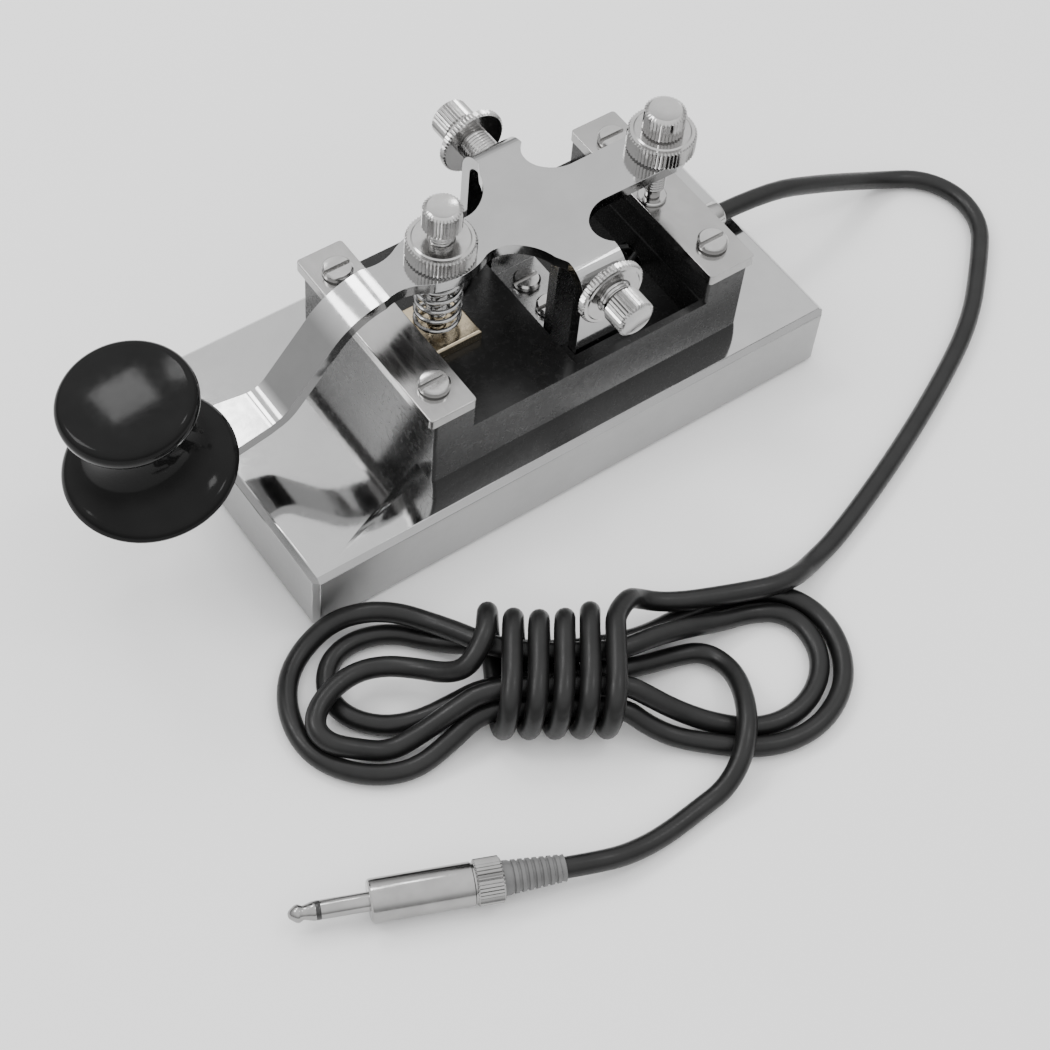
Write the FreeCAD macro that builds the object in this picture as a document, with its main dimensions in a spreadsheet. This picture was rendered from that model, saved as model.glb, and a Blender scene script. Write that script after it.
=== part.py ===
import FreeCAD, Part
import math
import os
import Sketcher

# A straight telegraph key on a heavy polished base, with a plugged lead.
# Millimetres. +X runs along the lever towards the lead, +Z is up, and the origin is the centre
# of the face that the key rests on.

doc = FreeCAD.newDocument("MorseKey")
Vector = FreeCAD.Vector
Rotation = FreeCAD.Rotation
Placement = FreeCAD.Placement

SIZES = {
    # base
    "pad_length": 117.0, "pad_width": 53.0, "pad_height": 1.0, "pad_corner": 6.0,
    "plate_length": 125.0, "plate_width": 61.0, "plate_height": 15.0, "plate_chamfer": 1.2,
    # moulded block
    "block_front": 31.0, "block_rear": 44.0, "block_width": 46.0,
    "block_floor": 11.9, "block_ends": 18.0, "front_end_length": 9.5, "rear_end_length": 10.0,
    "pocket_front": 3.3, "pocket_rear": 33.8, "pocket_width": 43.0, "pocket_floor": 4.5,
    "pocket_rib": 1.5,
    # straps and their screws
    "strap_thickness": 2.5, "strap_length": 47.0,
    "front_strap_x": 27.15, "front_strap_width": 10.5,
    "rear_strap_x": 39.45, "rear_strap_width": 11.1,
    "strap_screw_spacing": 33.2, "strap_screw_radius": 2.0, "strap_screw_depth": 10.0,
    "screw_head_radius": 3.1, "screw_head_height": 1.8, "screw_slot_width": 0.9,
    "screw_slot_depth": 1.0, "tapped_hole_clearance": 0.05,
    # lever
    "lever_top": 51.0, "lever_thickness": 2.5, "lever_slope": 50.0,
    "lever_pad_top": 31.0, "lever_bend_x": 36.4, "inner_bend": 6.0, "outer_bend": 18.0,
    "pad_bend_x": 71.0, "pad_bend": 12.0,
    "ear_outside": 20.0, "ear_bottom": 28.7, "ear_front": 4.0, "ear_rear": 14.5, "ear_bend": 5.0,
    "knob_x": 78.6, "front_screw_x": 15.0, "rear_screw_x": 37.0,
    # pivot
    "pivot_x": 10.0, "pivot_height": 44.8, "pivot_screw_radius": 3.5, "pivot_nose_radius": 1.8,
    "pivot_nose_y": 11.6, "pivot_tip_y": 10.1, "pivot_shoulder_y": 14.0, "pivot_tip_radius": 0.3,
    "pivot_head_radius": 4.1, "near_head_y": 24.0, "near_end_y": 29.5,
    "far_head_y": 28.5, "far_end_y": 34.0,
    "pivot_disc_radius": 7.3, "pivot_disc_thickness": 2.0, "far_disc_y": 24.5,
    "bracket_length": 11.0, "bracket_outside": 11.5, "bracket_wall": 2.5, "bracket_top": 48.1,
    "bracket_corner": 3.2, "cup_radius": 2.3, "cup_inner_y": 8.8, "cup_outer_y": 11.7,
    "cup_floor_y": 9.8, "bracket_screw_radius": 1.5, "bracket_screw_offset": 4.0,
    # adjusting screws and their lock discs
    "adjuster_radius": 2.35, "adjuster_tip_radius": 1.6, "adjuster_tip_length": 2.2,
    "lock_disc_radius": 6.9, "front_disc_height": 4.2, "rear_disc_height": 4.55,
    "front_head_radius": 3.9, "rear_head_radius": 4.2, "head_height": 5.4,
    "front_head_bottom": 58.2, "running_clearance": 0.05, "chamfer": 0.4,
    # contacts and spring
    "seat_side": 12.8, "seat_top": 30.5, "contact_radius": 1.8, "contact_rise": 0.5,
    "contact_gap": 0.55, "anvil_radius": 3.0, "anvil_height": 0.8, "stop_gap": 0.05,
    "spring_radius": 4.35, "spring_wire": 0.45, "spring_turns": 6.0,
    "spring_corners": 12,
    # knob
    "knob_foot": 29.86,
    "knob_skirt_radius": 16.5, "knob_bottom_radius": 15.6, "knob_edge_height": 1.0,
    "knob_shoulder_radius": 14.8, "knob_shoulder_height": 2.6,
    "knob_waist_radius": 7.6, "knob_waist_height": 12.5,
    "knob_cap_radius": 13.0, "knob_cap_under": 19.2, "knob_rim_height": 21.4,
    "knob_crown_radius": 11.0, "knob_crown_height": 23.7, "knob_height": 24.3,
    "knob_edge_curve": 0.9, "knob_flare_curve": 11.0, "knob_neck_curve": 6.4,
    "knob_rim_curve": 2.04, "knob_crown_curve": 101.1333333,
    "knob_bore_radius": 4.0, "knob_bore_depth": 14.0,
    "stud_radius": 2.0, "stud_length": 12.0, "stud_head_radius": 4.0, "stud_head_height": 2.4,
    "washer_radius": 5.0, "washer_height": 0.8,
    # lead, gland and plug
    "cord_radius": 2.0, "cord_rest": 2.05, "gland_height": 20.0, "gland_radius": 3.4,
    "gland_mouth_radius": 2.8, "gland_inner": 34.2, "gland_mouth": 57.0, "gland_depth": 6.0,
    "gland_ring_radius": 3.85, "gland_ring_length": 2.0, "wire_radius": 0.65,
    "plug_x": 53.6, "plug_y": 99.2, "plug_turn": 157.0, "plug_axis": 4.3,
    "relief_radius": 3.2, "relief_end_radius": 2.5, "relief_length": 11.6,
    "barrel_radius": 4.0, "barrel_length": 24.0, "collar_radius": 4.25, "collar_length": 5.0,
    "sleeve_radius": 1.75, "sleeve_length": 8.6, "ring_length": 0.9, "tip_length": 4.9,
}

sheet = doc.addObject("Spreadsheet::Sheet", "Sizes")
for row, (alias, number) in enumerate(SIZES.items(), start=1):
    sheet.set(f"A{row}", alias)
    sheet.set(f"B{row}", str(number))
    sheet.setAlias(f"B{row}", alias)
doc.recompute()

pieces = []


def size(alias):
    """The number in one cell of the sheet."""
    return float(sheet.get(alias))


def cells(expression):
    """The expression with every alias written as a cell of the sheet."""
    words = expression.replace("(", " ( ").replace(")", " ) ").split()
    return " ".join(f"Sizes.{word}" if word in SIZES else word for word in words)


def number_of(expression):
    """What an expression comes to now, for a sketch's first drawing."""
    return float(sheet.evalExpression(cells(expression)))


def bind(item, **expressions):
    """Bind properties to the sheet: x, y and z are the item's place."""
    for name, expression in expressions.items():
        prop = f"Placement.Base.{name}" if name in ("x", "y", "z") else name
        item.setExpression(prop, cells(expression))
    return item


def piece(item, label):
    """Keep an item as a finished sub-part under its own name."""
    item.Label = label
    pieces.append(item)
    return item


# --- Part primitives and booleans -------------------------------------------------------------

TURNS = {
    "Z": Rotation(),
    "Y": Rotation(Vector(1, 0, 0), -90),
    "-Y": Rotation(Vector(1, 0, 0), 90),
    "X": Rotation(Vector(0, 1, 0), 90),
}


def box(name, x, y, z):
    """Box between two limits on each axis, each axis a pair of expressions."""
    item = doc.addObject("Part::Box", name)
    for prop, axis, (low, high) in (("Length", "x", x), ("Width", "y", y), ("Height", "z", z)):
        bind(item, **{prop: f"( {high} ) - ( {low} )", axis: low})
    return item


def cylinder(name, radius, length, x, y, z, axis="Z"):
    """Cylinder that starts at a point and runs along an axis."""
    item = doc.addObject("Part::Cylinder", name)
    item.Placement = Placement(Vector(), TURNS[axis])
    return bind(item, Radius=radius, Height=length, x=x, y=y, z=z)


def cone(name, first, last, length, x, y, z, axis="Z"):
    """Cone from one radius to another along an axis."""
    item = doc.addObject("Part::Cone", name)
    item.Placement = Placement(Vector(), TURNS[axis])
    return bind(item, Radius1=first, Radius2=last, Height=length, x=x, y=y, z=z)


def fuse(name, *items):
    """One solid from several."""
    result = doc.addObject("Part::MultiFuse", name)
    result.Shapes = list(items)
    result.Refine = True
    return result


def group(name, *items):
    """Separate solids kept together as they are."""
    result = doc.addObject("Part::Compound", name)
    result.Links = list(items)
    return result


def cut(name, base, *tools):
    """A solid with others taken out of it."""
    result = doc.addObject("Part::Cut", name)
    result.Base = base
    result.Tool = tools[0] if len(tools) == 1 else fuse(f"{name}_tools", *tools)
    return result


def edges_of(shape, wanted):
    """Names of the edges that a test picks out."""
    return [f"Edge{i}" for i, edge in enumerate(shape.Edges, start=1) if wanted(edge)]


def soften(kind, name, base, amount, wanted):
    """Part::Fillet or Part::Chamfer on the edges that a test picks out."""
    doc.recompute()
    result = doc.addObject(kind, name)
    result.Base = base
    numbers = [int(edge[4:]) for edge in edges_of(base.Shape, wanted)]
    result.Edges = [(number, amount, amount) for number in numbers]
    return result


def rims(edge):
    """True for a whole circle on the outside of a turned piece."""
    return isinstance(edge.Curve, Part.Circle) and len(edge.Vertexes) == 1


def rims_over(radius):
    """A test for whole circles larger than a radius, such as those of a screw's head."""
    def wanted(edge):
        return rims(edge) and edge.Curve.Radius > radius + 0.1
    return wanted


# --- PartDesign bodies ------------------------------------------------------------------------

def sketch(body, name, role, height="0"):
    """Sketch on one of the body's own origin planes, raised by an expression."""
    item = body.newObject("Sketcher::SketchObject", name)
    support = next(feature for feature in body.Origin.OriginFeatures if feature.Role == role)
    item.AttachmentSupport = [(support, "")]
    item.MapMode = "FlatFace"
    item.setExpression("AttachmentOffset.Base.z", cells(height))
    return item


def pin_point(item, geometry, point, x, y):
    """Fix one point of a sketch at two expressions, measured from its origin."""
    for kind, expression, axis in (("DistanceX", x, -2), ("DistanceY", y, -1)):
        if expression == "0":
            item.addConstraint(Sketcher.Constraint("PointOnObject", geometry, point, axis))
            continue
        start = number_of(expression)
        index = item.addConstraint(Sketcher.Constraint(kind, -1, 1, geometry, point, start))
        item.setExpression(f"Constraints[{index}]", cells(expression))


def draw_rectangle(item, x, y):
    """Rectangle between two limits on each axis."""
    (left, right), (low, high) = x, y
    corners = [(left, low), (right, low), (right, high), (left, high)]
    first = item.GeometryCount
    spots = [Vector(number_of(a), number_of(b), 0) for a, b in corners]
    for here, there in zip(spots, spots[1:] + spots[:1]):
        item.addGeometry(Part.LineSegment(here, there))
    for side in range(4):
        after = first + (side + 1) % 4
        item.addConstraint(Sketcher.Constraint("Coincident", first + side, 2, after, 1))
        kind = "Vertical" if side % 2 else "Horizontal"
        item.addConstraint(Sketcher.Constraint(kind, first + side))
    pin_point(item, first, 1, left, low)
    pin_point(item, first + 2, 1, right, high)


def draw_circle(item, x, y, radius):
    """Circle about a point."""
    centre = Vector(number_of(x), number_of(y), 0)
    index = item.addGeometry(Part.Circle(centre, Vector(0, 0, 1), number_of(radius)))
    pin_point(item, index, 3, x, y)
    limit = item.addConstraint(Sketcher.Constraint("Radius", index, number_of(radius)))
    item.setExpression(f"Constraints[{limit}]", cells(radius))


def pad(body, name, profile, length):
    """Pad a sketch upwards by an expression."""
    item = body.newObject("PartDesign::Pad", name)
    item.Profile = profile
    bind(item, Length=length)
    doc.recompute()
    return item


def pocket(body, name, profile, depth):
    """Cut a sketch downwards by an expression, and see that it took something away."""
    before = body.Shape.Volume
    item = body.newObject("PartDesign::Pocket", name)
    item.Profile = profile
    bind(item, Length=depth)
    doc.recompute()
    if body.Shape.Volume >= before:
        raise RuntimeError(f"{name} cuts nothing")
    return item


def dress(body, kind, name, amount, wanted):
    """PartDesign::Fillet or Chamfer on the edges that a test picks out, sized by an expression."""
    base = body.Tip
    item = body.newObject(kind, name)
    item.Base = (base, edges_of(base.Shape, wanted))
    bind(item, **{"Radius" if kind.endswith("Fillet") else "Size": amount})
    doc.recompute()
    return item


def upright(edge):
    """True for a straight edge along Z."""
    return isinstance(edge.Curve, Part.Line) and abs(edge.Curve.Direction.z) > 0.99


def level_at(height):
    """A test for straight edges that lie at one height."""
    def wanted(edge):
        low, high = edge.BoundBox.ZMin, edge.BoundBox.ZMax
        return isinstance(edge.Curve, Part.Line) and max(abs(low - height), abs(high - height)) < 1e-4
    return wanted


PLATE_TOP = "pad_height + plate_height"
STRAP_TOP = "pad_height + plate_height + block_ends + strap_thickness"
STRAP_SCREWS = [(x, f"{side} strap_screw_spacing / 2")
                for x in ("0 - front_strap_x", "rear_strap_x") for side in ("0 -", "0 +")]


# --- base -------------------------------------------------------------------------------------

def make_base_pad():
    """Non-slip sheet under the plate."""
    body = doc.addObject("PartDesign::Body", "base_pad")
    outline = sketch(body, "pad_outline", "XY_Plane")
    draw_rectangle(outline, ("0 - pad_length / 2", "pad_length / 2"),
                   ("0 - pad_width / 2", "pad_width / 2"))
    pad(body, "pad_sheet", outline, "pad_height")
    dress(body, "PartDesign::Fillet", "pad_corners", "pad_corner", upright)
    return piece(body, "base_pad")


def make_base_plate():
    """Heavy plate with chamfered top edges and tapped holes for the screws."""
    body = doc.addObject("PartDesign::Body", "base_plate")
    outline = sketch(body, "plate_outline", "XY_Plane", "pad_height")
    draw_rectangle(outline, ("0 - plate_length / 2", "plate_length / 2"),
                   ("0 - plate_width / 2", "plate_width / 2"))
    pad(body, "plate_slab", outline, "plate_height")
    top = size("pad_height") + size("plate_height")
    dress(body, "PartDesign::Chamfer", "plate_edges", "plate_chamfer",
          lambda edge: level_at(top)(edge) or upright(edge))
    holes = sketch(body, "plate_holes", "XY_Plane", PLATE_TOP)
    for x, y in STRAP_SCREWS:
        draw_circle(holes, x, y, "strap_screw_radius + tapped_hole_clearance")
    for side in ("-", "+"):
        draw_circle(holes, "pivot_x", f"0 {side} bracket_screw_offset",
                    "bracket_screw_radius + tapped_hole_clearance")
    pocket(body, "plate_tapped_holes", holes, "strap_screw_depth")
    return piece(body, "base_plate")


# --- block and straps -------------------------------------------------------------------------

def make_key_block():
    """Moulded block with two raised ends and a deep pocket under the pivot."""
    body = doc.addObject("PartDesign::Body", "key_block")
    wide = ("0 - block_width / 2", "block_width / 2")
    outline = sketch(body, "block_outline", "XY_Plane", PLATE_TOP)
    draw_rectangle(outline, ("0 - block_front", "block_rear"), wide)
    pad(body, "block_base", outline, "block_floor")
    ends = sketch(body, "block_end_outline", "XY_Plane", f"{PLATE_TOP} + block_floor")
    draw_rectangle(ends, ("0 - block_front", "front_end_length - block_front"), wide)
    draw_rectangle(ends, ("block_rear - rear_end_length", "block_rear"), wide)
    pad(body, "block_ends_raised", ends, "block_ends - block_floor")
    well = sketch(body, "block_pocket_outline", "XY_Plane", f"{PLATE_TOP} + block_floor")
    draw_rectangle(well, ("pocket_front", "pocket_rear"),
                   ("0 - pocket_width / 2", "pocket_width / 2"))
    pocket(body, "block_pocket", well, "block_floor - pocket_floor")
    dress(body, "PartDesign::Fillet", "block_corners", "pocket_rib / 2",
          lambda edge: upright(edge) and abs(abs(edge.BoundBox.YMin) - size("block_width") / 2) < 1e-4)
    holes = sketch(body, "block_screw_holes", "XY_Plane", f"{PLATE_TOP} + block_ends")
    for x, y in STRAP_SCREWS:
        draw_circle(holes, x, y, "strap_screw_radius + tapped_hole_clearance * 3")
    for side in ("-", "+"):
        draw_circle(holes, "pivot_x", f"0 {side} bracket_screw_offset",
                    "bracket_screw_radius + tapped_hole_clearance * 3")
    pocket(body, "block_holes", holes, "block_ends")
    contact = sketch(body, "block_contact_hole", "XY_Plane", f"{PLATE_TOP} + block_floor")
    draw_circle(contact, "0 - front_screw_x", "0", "contact_radius + running_clearance")
    pocket(body, "block_contact_bore", contact, "2")
    lead = sketch(body, "block_gland_hole", "YZ_Plane", "block_rear")
    draw_circle(lead, "0", "gland_height", "gland_radius")
    pocket(body, "block_gland_bore", lead, "rear_end_length + 0.5")
    return piece(body, "key_block")


def make_strap(name, x, width):
    """Flat metal strap across one raised end, with a hole for each screw."""
    body = doc.addObject("PartDesign::Body", name)
    outline = sketch(body, f"{name}_outline", "XY_Plane", f"{PLATE_TOP} + block_ends")
    draw_rectangle(outline, (f"{x} - {width} / 2", f"{x} + {width} / 2"),
                   ("0 - strap_length / 2", "strap_length / 2"))
    for side in ("-", "+"):
        draw_circle(outline, x, f"0 {side} strap_screw_spacing / 2",
                    "strap_screw_radius + tapped_hole_clearance * 3")
    pad(body, f"{name}_bar", outline, "strap_thickness")
    dress(body, "PartDesign::Fillet", f"{name}_corners", "chamfer * 2", upright)
    return piece(body, name)


def make_screw(name, x, y, top, depth, radius, head_radius, head_height):
    """Slotted cheese-head screw that hangs down from its seat at top."""
    head = cylinder(f"{name}_head", head_radius, head_height, x, y, top)
    shank = cylinder(f"{name}_shank", radius, depth, x, y, f"( {top} ) - ( {depth} )")
    rounded = soften("Part::Chamfer", f"{name}_rounded", fuse(f"{name}_blank", head, shank),
                     size("chamfer"), rims_over(number_of(radius)))
    slot = box(f"{name}_slot", (f"{x} - {head_radius}", f"{x} + {head_radius}"),
               (f"{y} - screw_slot_width / 2", f"{y} + screw_slot_width / 2"),
               (f"{top} + {head_height} - screw_slot_depth", f"{top} + {head_height} + 1"))
    return cut(name, rounded, slot)


def make_strap_screws():
    """The four long screws that hold both straps and the block to the plate."""
    depth = "strap_thickness + block_ends + strap_screw_depth - 0.5"
    screws = [make_screw(f"strap_screw_{i}", x, y, STRAP_TOP, depth, "strap_screw_radius",
                         "screw_head_radius", "screw_head_height")
              for i, (x, y) in enumerate(STRAP_SCREWS, start=1)]
    return piece(group("strap_screws", *screws), "strap_screws")


# --- pivot bracket ----------------------------------------------------------------------------

def make_pivot_bracket():
    """Channel that stands in the pocket and carries the two bearing cups."""
    floor = f"{PLATE_TOP} + pocket_floor"
    along = ("pivot_x - bracket_length / 2", "pivot_x + bracket_length / 2")
    outside = box("bracket_outside_form", along, ("0 - bracket_outside", "bracket_outside"),
                  (floor, "bracket_top"))
    inside = box("bracket_inside_form", along,
                 ("bracket_wall - bracket_outside", "bracket_outside - bracket_wall"),
                 (f"{floor} + bracket_wall", "bracket_top + 1"))
    bearing = cylinder("bracket_bearing_hole", "cup_radius", "bracket_outside * 2",
                       "pivot_x", "0 - bracket_outside", "pivot_height", "Y")
    holes = [cylinder(f"bracket_screw_hole_{i}", "bracket_screw_radius + tapped_hole_clearance * 3",
                      "bracket_wall * 2", "pivot_x", f"0 {side} bracket_screw_offset", floor)
             for i, side in enumerate("-+", start=1)]
    channel = cut("bracket_channel", outside, inside, bearing, *holes)

    def shoulder(edge):
        bounds = edge.BoundBox
        return (isinstance(edge.Curve, Part.Line) and abs(edge.Curve.Direction.y) > 0.99
                and bounds.ZMin > size("bracket_top") - 1e-4)
    return piece(soften("Part::Fillet", "pivot_bracket", channel, size("bracket_corner"), shoulder),
                 "pivot_bracket")


def make_bracket_screws():
    """Two screws that hold the bracket through the block to the plate."""
    seat = f"{PLATE_TOP} + pocket_floor + bracket_wall"
    depth = "bracket_wall + pocket_floor + strap_screw_depth - 0.5"
    screws = [make_screw(f"bracket_screw_{i}", "pivot_x", f"0 {side} bracket_screw_offset", seat,
                         depth, "bracket_screw_radius", "bracket_screw_radius * 1.9", "1.6")
              for i, side in enumerate("-+", start=1)]
    return piece(group("bracket_screws", *screws), "bracket_screws")


def make_bearing_cup(name, side):
    """Hard cup with a conical seat for one pivot point."""
    axis = "Y" if side == "+" else "-Y"
    plain = cylinder(f"{name}_form", "cup_radius", "cup_outer_y - cup_inner_y",
                     "pivot_x", f"0 {side} cup_inner_y", "pivot_height", axis)
    depth = "( cup_outer_y - cup_floor_y )"
    widest = "pivot_tip_radius + cup_outer_y - pivot_tip_y + running_clearance * 1.4"
    seat = cone(f"{name}_seat", f"{widest} - {depth}", widest, depth,
                "pivot_x", f"0 {side} cup_floor_y", "pivot_height", axis)
    return piece(cut(name, plain, seat), name)


# --- lever ------------------------------------------------------------------------------------

def knob_lean():
    """How far the knob leans forwards, in radians: the slope of the lever's end under it."""
    return math.atan2(size("lever_pad_top") - size("knob_foot"), size("knob_x") - size("pad_bend_x"))


def lever_profile():
    """Side view of the bent bar: a sloping end for the knob, a low run, a slope and a level top."""
    slope = math.radians(size("lever_slope"))
    thickness = size("lever_thickness")
    rise = size("lever_top") - size("lever_pad_top")
    high_x = -size("lever_bend_x")
    low_x = high_x - rise / math.tan(slope)
    lean = knob_lean()
    bend_x = -size("pad_bend_x")
    front_x = -size("knob_x") - LEVER_PAD_RADIUS - 1
    front_z = size("lever_pad_top") + (front_x - bend_x) * math.tan(lean)
    rear_x = size("rear_screw_x") + LEVER_REAR_RADIUS
    shift = thickness * math.tan(slope / 2)
    upper = [Vector(front_x, 0, front_z), Vector(bend_x, 0, size("lever_pad_top")),
             Vector(low_x, 0, size("lever_pad_top")), Vector(high_x, 0, size("lever_top")),
             Vector(rear_x, 0, size("lever_top"))]
    under = [Vector(front_x + thickness * math.sin(lean), 0, front_z - thickness * math.cos(lean)),
             Vector(bend_x + thickness * math.tan(lean / 2), 0, upper[1].z - thickness),
             Vector(low_x + shift, 0, upper[2].z - thickness),
             Vector(high_x + shift, 0, upper[3].z - thickness),
             Vector(rear_x, 0, upper[4].z - thickness)]
    pad, inner, outer = size("pad_bend"), size("inner_bend"), size("outer_bend")
    edges = bent_edges(upper, [pad, inner, outer])
    edges += bent_edges(under, [pad - thickness, inner + thickness, outer - thickness])
    edges += [Part.LineSegment(upper[0], under[0]), Part.LineSegment(upper[4], under[4])]
    return Part.Face(joined(edges))


def bent_edges(points, radii):
    """Straight runs through the points, joined by tangent arcs of the given radii."""
    edges = []
    here = points[0]
    for before, corner, after, radius in zip(points, points[1:], points[2:], radii):
        back = (before - corner).normalize()
        ahead = (after - corner).normalize()
        half = back.getAngle(ahead) / 2
        reach = radius / math.tan(half)
        start, end = corner + back * reach, corner + ahead * reach
        middle = corner + (back + ahead).normalize() * (radius / math.sin(half) - radius)
        edges += [Part.LineSegment(here, start), Part.Arc(start, middle, end)]
        here = end
    return edges + [Part.LineSegment(here, points[-1])]


def joined(curves):
    """One wire from loose curves."""
    return Part.Wire(Part.__sortEdges__([curve.toShape() for curve in curves]))


# Half-widths of the lever's plan along X, from the knob pad to the rear eye.
LEVER_PAD_RADIUS = 6.5
LEVER_REAR_RADIUS = 5.6
LEVER_NECK = 4.4
LEVER_EYE = 7.0
LEVER_WAIST = 4.8
LEVER_REAR = 5.4


def lever_outline():
    """Plan of the flat blank: knob pad, neck, eye, waist, side arm and rear eye."""
    pad_x, eye_x = -size("knob_x"), -size("front_screw_x")
    rear_x, arm_y = size("rear_screw_x"), size("ear_outside")
    ear_front, ear_rear = size("ear_front"), size("ear_rear")

    def half(side):
        def at(x, y):
            return Vector(x, side * y, 0)
        return [
            Part.Arc(at(pad_x - LEVER_PAD_RADIUS, 0), at(pad_x - 4.6, 4.6), at(pad_x, LEVER_PAD_RADIUS)),
            Part.LineSegment(at(pad_x, LEVER_PAD_RADIUS), at(pad_x + 9, LEVER_PAD_RADIUS)),
            Part.LineSegment(at(pad_x + 9, LEVER_PAD_RADIUS), at(eye_x - 39, LEVER_NECK)),
            Part.LineSegment(at(eye_x - 39, LEVER_NECK), at(eye_x - 15, LEVER_NECK)),
            Part.Arc(at(eye_x - 15, LEVER_NECK), at(eye_x - 11, 3.9), at(eye_x - 7.5, 4.9)),
            Part.Arc(at(eye_x - 7.5, 4.9), at(eye_x, LEVER_EYE), at(eye_x + 7, 5.1)),
            Part.Arc(at(eye_x + 7, 5.1), at(eye_x + 9.5, LEVER_WAIST), at(eye_x + 12, 5.5)),
            Part.Arc(at(eye_x + 12, 5.5), at(eye_x + 15.6, 8.4), at(ear_front - 1.4, 12.4)),
            Part.LineSegment(at(ear_front - 1.4, 12.4), at(ear_front, 14.8)),
            Part.LineSegment(at(ear_front, 14.8), at(ear_front, arm_y)),
            Part.LineSegment(at(ear_front, arm_y), at(ear_rear, arm_y)),
            Part.LineSegment(at(ear_rear, arm_y), at(ear_rear, 15.2)),
            Part.Arc(at(ear_rear, 15.2), at(ear_rear - 2.0, 11.6), at(ear_rear - 1.2, 8.6)),
            Part.Arc(at(ear_rear - 1.2, 8.6), at(ear_rear + 0.9, 6.6), at(ear_rear + 4.5, LEVER_REAR)),
            Part.LineSegment(at(ear_rear + 4.5, LEVER_REAR), at(rear_x, LEVER_REAR_RADIUS)),
            Part.Arc(at(rear_x, LEVER_REAR_RADIUS), at(rear_x + 3.96, 3.96),
                     at(rear_x + LEVER_REAR_RADIUS, 0)),
        ]
    return Part.Face(joined(half(-1) + half(1)))


def saddle_section():
    """End view of the side arms: level across the top and bent down into an ear at each side."""
    top, bottom = size("lever_top"), size("ear_bottom")
    side, thickness = size("ear_outside"), size("lever_thickness")
    bend = size("ear_bend")
    outer = [Vector(0, -side, bottom), Vector(0, -side, top), Vector(0, side, top),
             Vector(0, side, bottom)]
    inner = [Vector(0, thickness - side, bottom), Vector(0, thickness - side, top - thickness),
             Vector(0, side - thickness, top - thickness), Vector(0, side - thickness, bottom)]
    edges = bent_edges(outer, [bend, bend])
    edges += bent_edges(inner, [bend - thickness, bend - thickness])
    edges += [Part.LineSegment(outer[0], inner[0]), Part.LineSegment(outer[3], inner[3])]
    return Part.Face(joined(edges))


def make_lever():
    """Stamped and bent lever with two ears, a hole for the knob and four tapped holes."""
    blank = lever_outline().extrude(Vector(0, 0, 80))
    bar = lever_profile().extrude(Vector(0, 2 * LEVER_EYE + 2, 0))
    bar.translate(Vector(0, -LEVER_EYE - 1, 0))
    saddle = saddle_section().extrude(Vector(24, 0, 0))
    saddle.translate(Vector(size("pivot_x") - 13, 0, 0))
    shape = bar.common(blank).fuse(saddle.common(blank))
    top = size("lever_top")
    gap = size("running_clearance")
    down = Vector(0, 0, -1)
    knob_down = Vector(math.sin(knob_lean()), 0, -math.cos(knob_lean()))
    for x, radius, height, drill in (
            (-size("knob_x"), size("stud_radius") + gap, size("knob_foot"), knob_down),
            (-size("front_screw_x"), size("adjuster_radius") + gap, top, down),
            (size("rear_screw_x"), size("adjuster_radius") + gap, top, down)):
        shape = shape.cut(Part.makeCylinder(radius, 5, Vector(x, 0, height) - drill, drill))
    axis = Vector(size("pivot_x"), -30, size("pivot_height"))
    shape = shape.cut(Part.makeCylinder(size("pivot_screw_radius") + gap, 60, axis, Vector(0, 1, 0)))
    lever = doc.addObject("Part::Feature", "lever")
    lever.Shape = shape.removeSplitter()
    lever.Placement = Placement()
    return piece(lever, "lever")


# --- turning screws and lock discs ------------------------------------------------------------

def make_lock_disc(name, radius, bore, thickness, x, y, z, axis="Z"):
    """Round lock nut with chamfered rims that turns on its screw."""
    form = cylinder(f"{name}_form", radius, thickness, x, y, z, axis)
    hole = cylinder(f"{name}_bore", bore, thickness, x, y, z, axis)
    return piece(soften("Part::Chamfer", name, cut(f"{name}_blank", form, hole), size("chamfer"), rims),
                 name)


def make_adjuster(name, x, head_radius, head_bottom, tip_height):
    """Vertical adjusting screw with a round head and a narrower tip."""
    head = cylinder(f"{name}_head", head_radius, "head_height", x, "0", head_bottom)
    shoulder = f"( {tip_height} ) + adjuster_tip_length"
    shank = cylinder(f"{name}_shank", "adjuster_radius", f"( {head_bottom} ) - ( {shoulder} )",
                     x, "0", shoulder)
    tip = cylinder(f"{name}_tip", "adjuster_tip_radius", "adjuster_tip_length", x, "0", tip_height)
    blank = fuse(f"{name}_blank", head, shank, tip)
    head_rims = rims_over(size("adjuster_radius"))
    return piece(soften("Part::Chamfer", name, blank, size("chamfer"), head_rims), name)


def make_pivot_screw(name, side, head_y, end_y):
    """Horizontal pivot screw: round head, threaded shank, slim nose and a conical point."""
    axis = "Y" if side == "+" else "-Y"

    def place(distance):
        return ("pivot_x", f"0 {side} ( {distance} )", "pivot_height")
    head = cylinder(f"{name}_head", "pivot_head_radius", f"{end_y} - {head_y}", *place(head_y), axis)
    shank = cylinder(f"{name}_shank", "pivot_screw_radius", f"{head_y} - pivot_shoulder_y",
                     *place("pivot_shoulder_y"), axis)
    nose = cylinder(f"{name}_nose", "pivot_nose_radius", "pivot_shoulder_y - pivot_nose_y",
                    *place("pivot_nose_y"), axis)
    point = cone(f"{name}_point", "pivot_tip_radius", "pivot_nose_radius", "pivot_nose_y - pivot_tip_y",
                 *place("pivot_tip_y"), axis)
    blank = fuse(f"{name}_blank", head, shank, nose, point)
    head_rims = rims_over(size("pivot_screw_radius"))
    return piece(soften("Part::Chamfer", name, blank, size("chamfer"), head_rims), name)


# --- round wire and cord along a route ---------------------------------------------------------

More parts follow.
